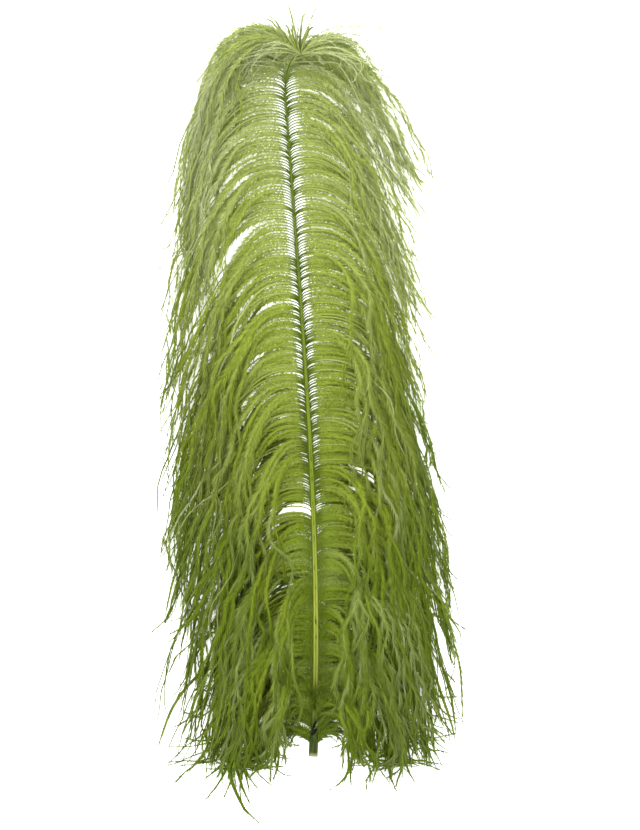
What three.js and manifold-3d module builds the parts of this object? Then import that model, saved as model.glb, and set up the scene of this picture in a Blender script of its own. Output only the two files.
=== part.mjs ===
// A dyed ostrich wing plume, lying on its back with its grooved side up.
// One solid: a hollow quill, a tapering shaft whose tip curls up off the surface, and the soft locks of
// barbs that grow from both sides of the shaft, arch outwards and lie back towards the quill.
// Millimetres, +Z up, +Y from the quill to the tip. The origin is on the surface, under the plume's middle.
import * as THREE from "three";
import { mergeVertices } from "three/addons/utils/BufferGeometryUtils.js";
import Module from "manifold-3d";

const { clamp, lerp, degToRad, smoothstep } = THREE.MathUtils;

// The shaft, seen from above: a long shallow S, then a curl that lifts the tip.
const SHAFT_BOWS = [0, 9, -10, -22.5]; // sideways, at four even steps from the cut end to the curl
const LIE_FLAT_Y = 330; // the back touches the surface up to here
const CURL_START = { y: 541.5, z: 11 };
const CURL_RADIUS = 34;
const CURL_TURN = degToRad(96);
const CURL_SIDEWAYS = 14;
const SHAFT_LENGTH = CURL_START.y + CURL_RADIUS * CURL_TURN;

// The shaft's section, from the cut end of the quill to the tip.
const QUILL_WIDTH = 7.6;
const QUILL_FLARE = 0.5; // the cut end is a little wider
const QUILL_END = 26; // the round quill has become the grooved shaft here
const SHAFT_WIDTH = 5.6;
const TIP_WIDTH = 1.1;
const SHAFT_SIDES = 12;
const GROOVE_DEPTH = 0.3; // as a share of half the width
const BORE = { radius: 2.9, depth: 30 };

// The oval opening at the top of the quill, where the groove ends.
const NAVEL = { x: 2, y: 24, z: 6.6, length: 13, width: 3.4, depth: 5, lean: degToRad(-24) };

// Locks of barbs along both sides.
const LOCKS_PER_SIDE = 25;
const FIRST_ROOT = 24;
const LAST_ROOT = SHAFT_LENGTH - 5;
const LOCK_STEPS = 6;
const COURSE_STEPS = 60;
const LOCK_WIDTH = 26;
const LOCK_ROOT_WIDTH = 10;
const LOCK_TIP_WIDTH = 1.2;
const LOCK_THICK = 3.4;
const ROOT_DEPTH = 0.9; // locks start this far behind the middle of the shaft
const ROOT_ANGLE = degToRad(56); // barbs leave the shaft this steeply
const ROOT_SWING = 7; // and swing outwards within about this length

// How far out the locks hang: pairs of distance from the cut end and distance from the shaft.
const NEAREST = [[24, 34], [190, 58]];
const FARTHEST = {
  left: [[24, 66], [60, 97], [120, 108], [240, 104], [360, 111], [480, 102], [607, 76]],
  right: [[24, 60], [60, 96], [120, 106], [290, 113], [400, 104], [480, 94], [607, 76]],
};

// Short locks that stand out past the curled tip: which way each points, and how long it is.
const CREST_LOCKS = [
  { lean: degToRad(62), length: 32 },
  { lean: degToRad(96), length: 33 },
  { lean: degToRad(128), length: 36 },
];

const wasm = await Module();
wasm.setup();

/** An even spread of numbers from 0 to 1 for i = 0, 1, 2 and so on. */
const spread = (i, start = 0) => (start + i * 0.618034) % 1;

/** The line of the shaft's back, by share of its length. */
class ShaftLine extends THREE.Curve {
  constructor() {
    super();
    const [a, b, c, d] = SHAFT_BOWS.map((x, i) => new THREE.Vector2(x, (i * CURL_START.y) / 3));
    this.plan = new THREE.CubicBezierCurve(a, b, c, d);
    this.drift = (d.x - c.x) / (d.y - c.y);
    this.climb = Math.atan((2 * CURL_START.z) / (CURL_START.y - LIE_FLAT_Y));
  }

  getPoint(share, target = new THREE.Vector3()) {
    const along = share * SHAFT_LENGTH;
    const flat = this.plan.getPoint(Math.min(along / CURL_START.y, 1));
    if (along <= CURL_START.y) {
      const rise = clamp((flat.y - LIE_FLAT_Y) / (CURL_START.y - LIE_FLAT_Y), 0, 1);
      return target.set(flat.x, flat.y, CURL_START.z * rise * rise);
    }
    const turned = (along - CURL_START.y) / CURL_RADIUS;
    const forwards = CURL_RADIUS * (Math.sin(this.climb + turned) - Math.sin(this.climb));
    const upwards = CURL_RADIUS * (Math.cos(this.climb) - Math.cos(this.climb + turned));
    const sideways = this.drift * forwards + CURL_SIDEWAYS * (1 - Math.cos(turned));
    return target.set(flat.x + sideways, flat.y + forwards, CURL_START.z + upwards);
  }
}

const shaftLine = new ShaftLine();

/** Width of the shaft at a distance from the cut end. */
function shaftWidth(along) {
  if (along < QUILL_END) {
    const quill = QUILL_WIDTH + QUILL_FLARE * Math.exp(-along / 2);
    return lerp(quill, SHAFT_WIDTH, smoothstep(along, 14, QUILL_END));
  }
  return lerp(SHAFT_WIDTH, TIP_WIDTH, ((along - QUILL_END) / (SHAFT_LENGTH - QUILL_END)) ** 0.9);
}

/** Where the shaft's back is at a distance from the cut end, and which ways are across and up from it. */
function shaftFrame(along) {
  const share = along / SHAFT_LENGTH;
  const tangent = shaftLine.getTangent(share);
  const across = new THREE.Vector3(1, 0, 0).addScaledVector(tangent, -tangent.x).normalize();
  const up = new THREE.Vector3().crossVectors(across, tangent);
  return { back: shaftLine.getPoint(share), across, up, width: shaftWidth(along) };
}

/** A unit cylinder of rings, each moved to where place(share along, x, z) puts its points. */
function bent(sides, rings, place) {
  const geometry = new THREE.CylinderGeometry(1, 1, 1, sides, rings);
  const position = geometry.getAttribute("position");
  for (let i = 0; i < position.count; i++) {
    const point = place(position.getY(i) + 0.5, position.getX(i), position.getZ(i));
    position.setXYZ(i, point.x, point.y, point.z);
  }
  return geometry;
}

/** A closed geometry as a solid that can be joined and cut. */
function solidOf(geometry) {
  geometry.deleteAttribute("normal");
  geometry.deleteAttribute("uv");
  const merged = mergeVertices(geometry, 1e-4);
  const vertProperties = merged.getAttribute("position").array;
  const triVerts = new Uint32Array(merged.index.array);
  return new wasm.Manifold(new wasm.Mesh({ numProp: 3, vertProperties, triVerts }));
}

/** Distances from the cut end to the shaft's rings, closer where its section or its course changes. */
function ringPlaces() {
  const evenly = (from, to, steps) => Array.from({ length: steps }, (_, i) => lerp(from, to, i / steps));
  const groovedFrom = QUILL_END + 10;
  return [
    ...evenly(0, 14, 2),
    ...evenly(14, groovedFrom, 6),
    ...evenly(groovedFrom, CURL_START.y, 11),
    ...evenly(CURL_START.y, SHAFT_LENGTH, 9),
    SHAFT_LENGTH,
  ];
}

/** The shaft with the quill, solid: flat back, rounded sides, a groove along the top above the quill. */
function shaftSolid() {
  const flatBack = Math.cos(Math.PI / 6);
  const rings = ringPlaces();
  return solidOf(
    bent(SHAFT_SIDES, rings.length - 1, (share, x, z) => {
      const along = rings[Math.round(share * (rings.length - 1))];
      const { back, across, up, width } = shaftFrame(along);
      const grooved = smoothstep(along, QUILL_END - 6, QUILL_END + 10);
      const groove = z > 0.99 ? GROOVE_DEPTH * grooved : 0;
      const height = (Math.max(z, -flatBack) + flatBack - groove) * (width / 2);
      return back.addScaledVector(across, (x * width) / 2).addScaledVector(up, height);
    }),
  );
}

/** The quill's bore, a round-ended plug to be cut away. */
function boreSolid() {
  const profile = [new THREE.Vector2(0, -2), new THREE.Vector2(BORE.radius, -2)];
  for (let i = 0; i < 4; i++) {
    const turn = (i * Math.PI) / 8;
    const y = BORE.depth - BORE.radius + BORE.radius * Math.sin(turn);
    profile.push(new THREE.Vector2(BORE.radius * Math.cos(turn), y));
  }
  profile.push(new THREE.Vector2(0, BORE.depth));
  const plug = new THREE.LatheGeometry(profile, 12);
  plug.translate(0.3, 0, QUILL_WIDTH / 2 - 0.2);
  return solidOf(plug);
}

/** The oval opening, to be cut down into the bore. */
function navelSolid() {
  const oval = new THREE.SphereGeometry(0.5, 12, 6);
  oval.scale(NAVEL.width, NAVEL.length, NAVEL.depth);
  oval.rotateZ(NAVEL.lean);
  oval.translate(NAVEL.x, NAVEL.y, NAVEL.z);
  return solidOf(oval);
}

/** A number read from pairs of (place, number), by straight lines between them. */
function readOff(pairs, at) {
  const next = pairs.findIndex(([place]) => place >= at);
  if (next <= 0) return pairs.at(next)[1];
  const [[from, before], [to, after]] = pairs.slice(next - 1, next + 1);
  return lerp(before, after, (at - from) / (to - from));
}

/** How one of the side locks grows: where it starts, how far and which way it runs, and how high. */
function sideLock(index, side) {
  const right = side > 0;
  const share = (index + 0.5) / LOCKS_PER_SIDE;
  const root = lerp(FIRST_ROOT, LAST_ROOT, share);
  const curl = clamp((root - CURL_START.y) / (SHAFT_LENGTH - CURL_START.y), 0, 1);
  const layers = lerp(1, 0.3, smoothstep(root, 150, 560)); // the vane is thick at the quill and thin at the tip
  const far = 1 - layers * (1 - spread(index, right ? 0.28 : 0.33)); // 0 hangs nearest, 1 farthest
  const reach = lerp(readOff(NEAREST, root), readOff(right ? FARTHEST.right : FARTHEST.left, root), far);
  const turn = lerp(reach / 0.71, 100, curl);
  const hangs = lerp(lerp(22, 90, smoothstep(share, 0, 0.3)), 66, smoothstep(share, 0.45, 1));
  return {
    root,
    side,
    turn,
    length: turn + hangs,
    outwards: degToRad(lerp(right ? 3 : 1, right ? 34 : 41, curl)),
    hang: degToRad(lerp(93, right ? 80 : 83, far)),
    knee: clamp(smoothstep(root, 380, 520) + (right ? 0.55 : 0), 0, 1),
    crest: lerp(22, 6, far) * (1 - 0.6 * curl),
    tipHeight: lerp(14, LOCK_THICK / 2, far),
    width: LOCK_WIDTH,
  };
}

/** How one of the short locks at the curled tip grows. */
function crestLock({ lean, length }) {
  return {
    root: LAST_ROOT,
    side: 1,
    turn: 90,
    length,
    outwards: lean,
    hang: 0,
    knee: 1,
    crest: 3,
    tipHeight: 40,
    width: 8,
  };
}

/** The share of a lock's length at which its i-th ring lies: the rings are closer near the shaft. */
const ringShare = (i) => (i / LOCK_STEPS) ** 1.3;

/** The middles of a lock's rings, from inside the shaft to the lock's tip. */
function lockCourse(lock) {
  const { back, up, width } = shaftFrame(lock.root);
  const start = back.addScaledVector(up, width * 0.45);
  const step = lock.length / COURSE_STEPS;
  const place = new THREE.Vector2(
    start.x - lock.side * ROOT_DEPTH * Math.cos(ROOT_ANGLE),
    start.y - ROOT_DEPTH * Math.sin(ROOT_ANGLE),
  );
  const points = [];
  for (let i = 0; i <= COURSE_STEPS; i++) {
    const along = i * step;
    const share = along / lock.length;
    const turned = along / lock.turn;
    const slow = 0.62 * smoothstep(turned, 0.03, 0.44) + 0.38 * smoothstep(turned, 0.3, 1.4);
    const sag = (lock.outwards + lock.hang) * lerp(slow, smoothstep(turned, 0.1, 0.88), lock.knee);
    const angle = lock.outwards + (ROOT_ANGLE - lock.outwards) * Math.exp(-along / ROOT_SWING) - sag;
    const arch = lock.crest * Math.sin(Math.PI * share);
    const height = lerp(start.z, lock.tipHeight, smoothstep(share, 0, 1)) + arch;
    points.push(new THREE.Vector3(place.x, place.y, Math.max(height, LOCK_THICK / 2)));
    place.x += lock.side * Math.cos(angle) * step;
    place.y += Math.sin(angle) * step;
  }
  return Array.from({ length: LOCK_STEPS + 1 }, (_, i) => points[Math.round(ringShare(i) * COURSE_STEPS)]);
}

/** One lock: a thin blade with a ridge above and below, narrow at the shaft and pointed at its tip. */
function lockSolid(lock) {
  const course = lockCourse(lock);
  const across = new THREE.Vector3();
  return solidOf(
    bent(4, LOCK_STEPS, (evenShare, x, z) => {
      const i = Math.round(evenShare * LOCK_STEPS);
      const share = ringShare(i);
      const before = course[Math.max(i - 1, 0)];
      const after = course[Math.min(i + 1, LOCK_STEPS)];
      across.set(after.y - before.y, before.x - after.x, 0).normalize();
      const taper = 1 - smoothstep(share, 0.45, 1.02) * 0.55 - smoothstep(share, 0.82, 1) * 0.38;
      const grown = Math.max(lock.width * taper, LOCK_TIP_WIDTH);
      const width = i === 0 ? Math.min(LOCK_ROOT_WIDTH, lock.width) : grown;
      const thick = lerp(LOCK_THICK, 1, smoothstep(share, 0.8, 1));
      const point = course[i].clone().addScaledVector(across, (x * width) / 2);
      point.z += (z * thick) / 2;
      return point;
    }),
  );
}

/** The whole plume as one solid. */
function plumeSolid() {
  const locks = CREST_LOCKS.map(crestLock);
  for (let i = 0; i < LOCKS_PER_SIDE; i++) {
    locks.push(sideLock(i, -1), sideLock(i, 1));
  }
  const plume = locks.reduce((joined, lock) => joined.add(lockSolid(lock)), shaftSolid());
  return plume.subtract(boreSolid()).subtract(navelSolid());
}

/** A solid as a three.js geometry. */
function geometryOf(solid) {
  const mesh = solid.getMesh();
  const geometry = new THREE.BufferGeometry();
  geometry.setAttribute("position", new THREE.BufferAttribute(mesh.vertProperties, 3));
  geometry.setIndex(new THREE.BufferAttribute(mesh.triVerts, 1));
  geometry.computeVertexNormals();
  return geometry;
}

const dyedBarbs = new THREE.MeshStandardMaterial({ color: 0x7f9632, roughness: 0.8, metalness: 0 });
const feather = new THREE.Mesh(geometryOf(plumeSolid()), dyedBarbs);
feather.name = "feather";
feather.geometry.computeBoundingBox();
const { min, max } = feather.geometry.boundingBox;
feather.position.set(-(min.x + max.x) / 2, -(min.y + max.y) / 2, -min.z);

const plume = new THREE.Group();
plume.add(feather);

export default plume;
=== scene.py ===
"""A dyed ostrich wing plume, lying on its back with its grooved side up.

The plume is grown as the real one grows: a horn shaft with a hollow quill, and about eighteen hundred barbs
that leave it steeply, swing outwards, arch over and hang back towards the quill in locks. Until a mesh is
written, lengths are in millimetres from the cut end of the quill, and a barb's angles are in degrees. Meshes
are in metres, in the CAD's frame.
"""
import logging
import math
import random
from dataclasses import dataclass, field
from enum import Enum
from functools import partial
from typing import Callable, Sequence

import bpy
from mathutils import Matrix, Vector


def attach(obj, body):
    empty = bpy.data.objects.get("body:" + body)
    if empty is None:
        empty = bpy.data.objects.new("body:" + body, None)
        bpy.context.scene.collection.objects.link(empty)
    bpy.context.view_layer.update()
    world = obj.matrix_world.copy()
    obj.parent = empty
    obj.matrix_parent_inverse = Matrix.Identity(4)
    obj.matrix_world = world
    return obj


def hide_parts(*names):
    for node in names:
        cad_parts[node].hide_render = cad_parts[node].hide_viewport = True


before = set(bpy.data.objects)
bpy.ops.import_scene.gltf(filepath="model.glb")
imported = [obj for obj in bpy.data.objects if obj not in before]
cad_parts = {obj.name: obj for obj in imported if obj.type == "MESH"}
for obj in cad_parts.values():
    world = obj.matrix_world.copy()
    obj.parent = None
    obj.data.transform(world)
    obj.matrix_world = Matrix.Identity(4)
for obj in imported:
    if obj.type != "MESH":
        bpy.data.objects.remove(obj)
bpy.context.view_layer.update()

LOG = logging.getLogger("plume")
MM = 0.001
SEED = 20817
CUT_END = Vector((2.1948, -278.2383, 0.0))  # where the cut end of the quill lies in the CAD's frame
NODE = "feather"
BODY = "root"

UNTIL_LOWEST = 230.0  # the length of a barb that is cut where it gets to its lowest place

Adder = Callable[..., bpy.types.Node]
Named = dict[str, bpy.types.Node]
Sockets = bpy.types.bpy_prop_collection
Range = tuple[float, float]
Rows = Sequence[Range]
Size = tuple[float, float, float]


def lerp(low: float, high: float, share: float) -> float:
    """The number that lies a share of the way from low to high."""
    return low + (high - low) * share


def clamp(value: float, low: float = 0.0, high: float = 1.0) -> float:
    """The value, kept between low and high."""
    return max(low, min(high, value))


def smooth(value: float, low: float, high: float) -> float:
    """A soft step from 0 at low to 1 at high."""
    t = clamp((value - low) / (high - low))
    return t * t * (3 - 2 * t)


def ramp(rows: Rows, at: float) -> float:
    """A number read from a table of (place, number) by straight lines between its rows.

    Args:
        rows: Rows in rising order of place.
        at: The place to read.

    Returns:
        The number at that place, and the first or last row's beyond the table.
    """
    if at <= rows[0][0]:
        return rows[0][1]
    for (x0, y0), (x1, y1) in zip(rows, rows[1:]):
        if at <= x1:
            return lerp(y0, y1, (at - x0) / (x1 - x0))
    return rows[-1][1]


class Side(Enum):
    """A side of the shaft, seen from above with the tip away."""

    LEFT = -1
    RIGHT = 1


# ---------------------------------------------------------------- finishes


def hex_colour(code: str) -> tuple[float, float, float, float]:
    """Turns a colour to linear.

    Args:
        code: An sRGB hex value such as '#A9B85C'.

    Returns:
        Red, green, blue and 1.
    """
    channels = [int(code[i : i + 2], 16) / 255 for i in (1, 3, 5)]
    linear = [c / 12.92 if c <= 0.04045 else ((c + 0.055) / 1.055) ** 2.4 for c in channels]
    return (*linear, 1.0)


def add_node(
    tree: bpy.types.NodeTree,
    kind: str,
    links: dict[int | str, object] | None = None,
    stops: Sequence[tuple[float, str]] = (),
    **settings: object,
) -> bpy.types.Node:
    """Adds a node to a tree.

    Args:
        tree: The tree to add to.
        kind: The node's Blender type.
        links: For each input, by name or place, a socket to link from, a node to link from at its first
            output, or a value to set.
        stops: The places and hex values of the node's colour ramp, if it has one.
        **settings: Properties of the node, by name.

    Returns:
        The new node.
    """
    node = tree.nodes.new(kind)
    for name, value in settings.items():
        setattr(node, name, value)
    for key, value in (links or {}).items():
        source = value.outputs[0] if isinstance(value, bpy.types.Node) else value
        if isinstance(source, bpy.types.NodeSocket):
            tree.links.new(source, node.inputs[key])
        else:
            node.inputs[key].default_value = source
    for i, (place, code) in enumerate(stops):
        element = node.color_ramp.elements[i] if i < 2 else node.color_ramp.elements.new(1.0)
        element.position = place
        element.color = hex_colour(code)
    return node


@dataclass(frozen=True)
class Finish:
    """What a piece is made of and how its surface was made. Each finish adds the nodes of its own surface."""

    name: str

    def build(self) -> bpy.types.Material:
        """Makes the material.

        Returns:
            The material, with this finish's nodes in its tree.
        """
        material = bpy.data.materials.new(self.name)
        material.use_nodes = True
        material.node_tree.nodes.clear()
        add = partial(add_node, material.node_tree)
        add("ShaderNodeOutputMaterial", {"Surface": self.surface(add)})
        return material

    def surface(self, add: Adder) -> bpy.types.Node:
        """The shader node of the surface, which each finish makes by its own rule."""
        raise NotImplementedError


@dataclass(frozen=True)
class DyedBarbs(Finish):
    """Ostrich barbs, keratin dyed in a hot acid bath: matt, soft, and lit through at the edges."""

    name: str = "dyed_keratin_barbs"
    lowest: str = "#7C9622"
    low: str = "#98AE32"
    middle: str = "#B8CA50"
    high: str = "#CAD978"
    pale: str = "#E2EAB0"
    deep: str = "#526A14"
    foot_y: float = -0.33
    crest_y: float = 0.33
    let_through: float = 0.3

    def surface(self, add: Adder) -> bpy.types.Node:
        """Greener and deeper at the quill end, paler and yellower at the crown.

        Args:
            add: Adds a node to the material's tree.

        Returns:
            The shader node.
        """
        place = add("ShaderNodeTexCoord").outputs["Object"]
        along = add("ShaderNodeSeparateXYZ", {0: place}).outputs["Y"]
        height = add("ShaderNodeMapRange", {0: along, 1: self.foot_y, 2: self.crest_y, 3: 0.0, 4: 1.0})
        stops = ((0.0, self.lowest), (0.12, self.low), (0.3, self.low), (0.6, self.middle), (1.0, self.high))
        colour = add("ShaderNodeValToRGB", {0: height}, stops)
        # Each barb took the dye a little differently, and each barbule differs a little from its barb. The
        # depth is partly that dye and partly painted shade: on the bare roots, on the hanging ends and on
        # barbs that lie under others.
        for name, dye in (("tone", self.pale), ("depth", self.deep), ("fleck", self.deep)):
            share = add("ShaderNodeAttribute", attribute_name=name).outputs["Fac"]
            coats = {0: share, 6: colour, 7: hex_colour(dye)}
            colour = add("ShaderNodeMix", coats, data_type="RGBA").outputs[2]
        looks = {"Base Color": colour, "Roughness": 0.7, "IOR": 1.45, "Specular IOR Level": 0.12}
        keratin = add("ShaderNodeBsdfPrincipled", looks)
        through = add("ShaderNodeBsdfTranslucent", {"Color": colour})
        return add("ShaderNodeMixShader", {0: self.let_through, 1: keratin, 2: through})


@dataclass(frozen=True)
class DyedHorn(Finish):
    """The shaft and quill: smooth horn that took the dye unevenly, pale where thick and dark at the quill."""

    name: str = "dyed_horn_shaft"
    quill: str = "#222E08"
    quill_streak: str = "#445618"
    thick: str = "#9AA243"
    middle: str = "#6F7F1C"
    thin: str = "#4A5A10"
    # Painted shade along the rounded sides of the shaft.
    edge_shade: str = "#4E5A14"
    groove: str = "#66751C"
    spot: str = "#2F4409"
    # Painted shade inside the bore and in the quill's opening.
    hollow: str = "#0B1206"
    rim: str = "#A39B7C"
    # Real sizes of the patterns in millimetres, across, along and up. The horn's own fibres are too fine to
    # show, and are drawn a third of a millimetre apart.
    speck_size: Size = (5 / 3, 100 / 11, 10 / 3)
    streak_size: Size = (10 / 9, 25.0, 10 / 9)
    fibre_size: Size = (1 / 3, 50 / 3, 1 / 3)
    fibre_height: float = 0.2

    def surface(self, add: Adder) -> bpy.types.Node:
        """Pale yellow green above the quill, darker to the tip, with a spotted groove.

        Args:
            add: Adds a node to the material's tree.

        Returns:
            The shader node.
        """
        place = add("ShaderNodeTexCoord").outputs["Object"]
        patterns = []
        for size in (self.speck_size, self.streak_size, self.fibre_size):
            scale = tuple(1 / (length * MM) for length in size)
            stretched = add("ShaderNodeMapping", {"Vector": place, "Scale": scale})
            patterns.append(add("ShaderNodeTexNoise", {"Vector": stretched, "Scale": 1.0, "Detail": 2.0}))
        specks, streaks, fibres = patterns
        along, cross, depth = (
            add("ShaderNodeAttribute", attribute_name=name).outputs["Fac"]
            for name in ("along", "cross", "depth")
        )
        side = add("ShaderNodeMath", {0: cross}, operation="ABSOLUTE")
        # Specks of pith and dye lie every 8 to 12 mm along the groove, and the quill's streaks are 1 mm wide.
        speck = add("ShaderNodeMapRange", {0: specks, 1: 0.56, 2: 0.64, 3: 0.0, 4: 1.0})
        in_groove = add("ShaderNodeMapRange", {0: side, 1: 0.4, 2: 0.2, 3: 0.0, 4: 1.0})
        spotted = add("ShaderNodeMath", {0: speck, 1: in_groove}, operation="MULTIPLY")
        streaked = add("ShaderNodeValToRGB", {0: streaks}, ((0.35, self.quill), (0.65, self.quill_streak)))
        stops = ((0.2, self.thick), (0.36, self.middle), (0.7, self.thin))
        colour = add("ShaderNodeValToRGB", {0: along}, stops)
        # Each coat covers the ones before it: what it follows, where it starts and is full, and how full.
        for source, start, full, most, coat in (
            (side, 0.34, 0.12, 0.75, hex_colour(self.groove)),
            # Painted shade on the shaft's rounded sides.
            (side, 0.72, 0.95, 0.9, hex_colour(self.edge_shade)),
            (spotted, 0.0, 1.0, 1.0, hex_colour(self.spot)),
            (along, 0.085, 0.045, 1.0, streaked),
            # Painted shade in the bore and the opening, the darker the deeper.
            (depth, 0.1, 0.5, 1.0, hex_colour(self.hollow)),
            (along, 0.006, 0.001, 0.8, hex_colour(self.rim)),
        ):
            share = add("ShaderNodeMapRange", {0: source, 1: start, 2: full, 3: 0.0, 4: most})
            colour = add("ShaderNodeMix", {0: share, 6: colour, 7: coat}, data_type="RGBA").outputs[2]
        bump = add("ShaderNodeBump", {"Height": fibres, "Strength": 0.25, "Distance": self.fibre_height * MM})
        looks = {"Base Color": colour, "Roughness": 0.5, "IOR": 1.5, "Specular IOR Level": 0.15}
        return add("ShaderNodeBsdfPrincipled", {**looks, "Normal": bump})


@dataclass(frozen=True)
class DriedPulp(Finish):
    """Caps of dried pulp in the quill's opening: thin, shiny, greyish green."""

    name: str = "dried_pulp_caps"
    colour: str = "#9C9C88"
    stain: str = "#4C5230"
    stain_size: float = 10 / 9

    def surface(self, add: Adder) -> bpy.types.Node:
        """A wet-looking skin with darker stains a millimetre apart.

        Args:
            add: Adds a node to the material's tree.

        Returns:
            The shader node.
        """
        place = add("ShaderNodeTexCoord").outputs["Object"]
        scale = 1 / (self.stain_size * MM)
        noise = add("ShaderNodeTexNoise", {"Vector": place, "Scale": scale, "Detail": 3.0})
        share = add("ShaderNodeMapRange", {0: noise, 1: 0.45, 2: 0.7, 3: 0.0, 4: 0.8})
        coats = {0: share, 6: hex_colour(self.colour), 7: hex_colour(self.stain)}
        colour = add("ShaderNodeMix", coats, data_type="RGBA").outputs[2]
        return add("ShaderNodeBsdfPrincipled", {"Base Color": colour, "Roughness": 0.22, "IOR": 1.5})


@dataclass(frozen=True)
class OpalAcrylic(Finish):
    """Matt white opal acrylic, as a light table is covered with: plain, and lit a little from beneath."""

    name: str = "matt_white_acrylic"
    colour: str = "#FAFAF8"
    glow: float = 1.0

    def surface(self, add: Adder) -> bpy.types.Node:
        """Even white all over.

        Args:
            add: Adds a node to the material's tree.

        Returns:
            The shader node.
        """
        white = hex_colour(self.colour)
        lit = {"Emission Color": white, "Emission Strength": self.glow}
        return add("ShaderNodeBsdfPrincipled", {"Base Color": white, "Roughness": 0.9, **lit})


# ---------------------------------------------------------------- the shaft


@dataclass(frozen=True)
class ShaftFrame:
    """A place on the shaft's back, and the directions across, along and up from it."""

    back: Vector
    across: Vector
    tangent: Vector
    up: Vector


@dataclass(frozen=True)
class ShaftLine:
    """The course of the shaft's back: a long shallow S, then a curl that lifts the tip."""

    bows: tuple[float, float, float, float] = (0.0, 9.0, -10.0, -22.5)
    lie_flat_y: float = 330.0
    curl_start_y: float = 541.5
    curl_start_z: float = 11.0
    curl_radius: float = 34.0
    curl_turn: float = math.radians(96)
    curl_sideways: float = 14.0
    quill_width: float = 7.6
    quill_flare: float = 0.5
    quill_flare_length: float = 2.0
    quill_taper_start: float = 14.0
    quill_end: float = 26.0
    shaft_width: float = 5.6
    tip_width: float = 1.1
    taper_power: float = 0.9

    @property
    def length(self) -> float:
        """From the cut end to the tip."""
        return self.curl_start_y + self.curl_radius * self.curl_turn

    def curl(self, along: float) -> float:
        """The share of the curl that is behind a place on the shaft, 0 below the curl."""
        return clamp((along - self.curl_start_y) / (self.length - self.curl_start_y))

    def point(self, along: float) -> Vector:
        """Follows the back of the shaft.

        Args:
            along: The distance from the cut end.

        Returns:
            The place of the back there.
        """
        t = min(along / self.curl_start_y, 1.0)
        a, b, c, d = self.bows
        x = a * (1 - t) ** 3 + 3 * b * t * (1 - t) ** 2 + 3 * c * t * t * (1 - t) + d * t**3
        y = t * self.curl_start_y
        if along <= self.curl_start_y:
            rise = clamp((y - self.lie_flat_y) / (self.curl_start_y - self.lie_flat_y))
            return Vector((x, y, self.curl_start_z * rise * rise))
        climb = math.atan(2 * self.curl_start_z / (self.curl_start_y - self.lie_flat_y))
        drift = 3 * (d - c) / self.curl_start_y
        turned = (along - self.curl_start_y) / self.curl_radius
        forwards = self.curl_radius * (math.sin(climb + turned) - math.sin(climb))
        upwards = self.curl_radius * (math.cos(climb) - math.cos(climb + turned))
        sideways = drift * forwards + self.curl_sideways * (1 - math.cos(turned))
        return Vector((x + sideways, y + forwards, self.curl_start_z + upwards))

    def frame(self, along: float) -> ShaftFrame:
        """Reads the shaft's direction from the back a little before and after a place.

        Args:
            along: The place's distance from the cut end.

        Returns:
            The place and the directions there.
        """
        step = 0.5
        ahead, behind = self.point(min(along + step, self.length)), self.point(max(along - step, 0.0))
        tangent = (ahead - behind).normalized()
        across = (Vector((1, 0, 0)) - tangent * tangent.x).normalized()
        return ShaftFrame(self.point(along), across, tangent, across.cross(tangent))

    def width(self, along: float) -> float:
        """Measures across the shaft.

        Args:
            along: The distance from the cut end.

        Returns:
            The width there.
        """
        if along < self.quill_end:
            quill = self.quill_width + self.quill_flare * math.exp(-along / self.quill_flare_length)
            return lerp(quill, self.shaft_width, smooth(along, self.quill_taper_start, self.quill_end))
        share = (along - self.quill_end) / (self.length - self.quill_end)
        return lerp(self.shaft_width, self.tip_width, clamp(share) ** self.taper_power)


def closed_skin(sides: int, rings: int, first: int = 0, turned: bool = False) -> list[tuple[int, ...]]:
    """The faces of a closed skin that runs from an end point through rings to another end point.

    Args:
        sides: Points in a ring.
        rings: Rings between the end points.
        first: The number of the first end point. The rings' points follow it, and then the other end point.
        turned: Whether the rings run the other way round.

    Returns:
        Triangles at the ends and quads between the rings, each as its points' numbers.
    """
    last = first + 1 + rings * sides
    faces = []
    for i in range(sides):
        j = (i + 1) % sides
        faces.append((first, first + 1 + i, first + 1 + j))
        for low in range(first + 1, last - sides, sides):
            high = low + sides
            faces.append((low + i, high + i, high + j, low + j))
        faces.append((last - sides + i, last, last - sides + j))
    return [(start, *(rest[::-1] if turned else rest)) for start, *rest in faces]


def new_mesh(
    name: str, points: Sequence[Vector], faces: Sequence[Sequence[int]], **numbers: Sequence[float]
) -> bpy.types.Mesh:
    """A smooth mesh in the CAD's frame.

    Args:
        name: The mesh's name.
        points: Its points, in millimetres from the cut end.
        faces: Its faces, as lists of point numbers, or of two numbers for edges.
        **numbers: Point attributes, by name.

    Returns:
        The mesh, in metres.
    """
    mesh = bpy.data.meshes.new(name)
    placed = [(p + CUT_END) * MM for p in points]
    edges = [f for f in faces if len(f) == 2]
    mesh.from_pydata(placed, edges, [f for f in faces if len(f) > 2])
    for key, values in numbers.items():
        mesh.attributes.new(key, "FLOAT", "POINT").data.foreach_set("value", list(values))
    mesh.polygons.foreach_set("use_smooth", [True] * len(mesh.polygons))
    mesh.update()
    return mesh


def add_piece(name: str, mesh: bpy.types.Mesh, material: bpy.types.Material) -> bpy.types.Object:
    """A piece of the plume that rides on its body and stands for the CAD node.

    Args:
        name: The piece's name.
        mesh: Its mesh, already in place.
        material: Its finish.

    Returns:
        The new object.
    """
    mesh.materials.clear()
    mesh.materials.append(material)
    piece = bpy.data.objects.new(name, mesh)
    bpy.context.scene.collection.objects.link(piece)
    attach(piece, BODY)
    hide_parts(NODE)
    LOG.info("%s: %d points, %d faces", name, len(mesh.vertices), len(mesh.polygons))
    return piece


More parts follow.
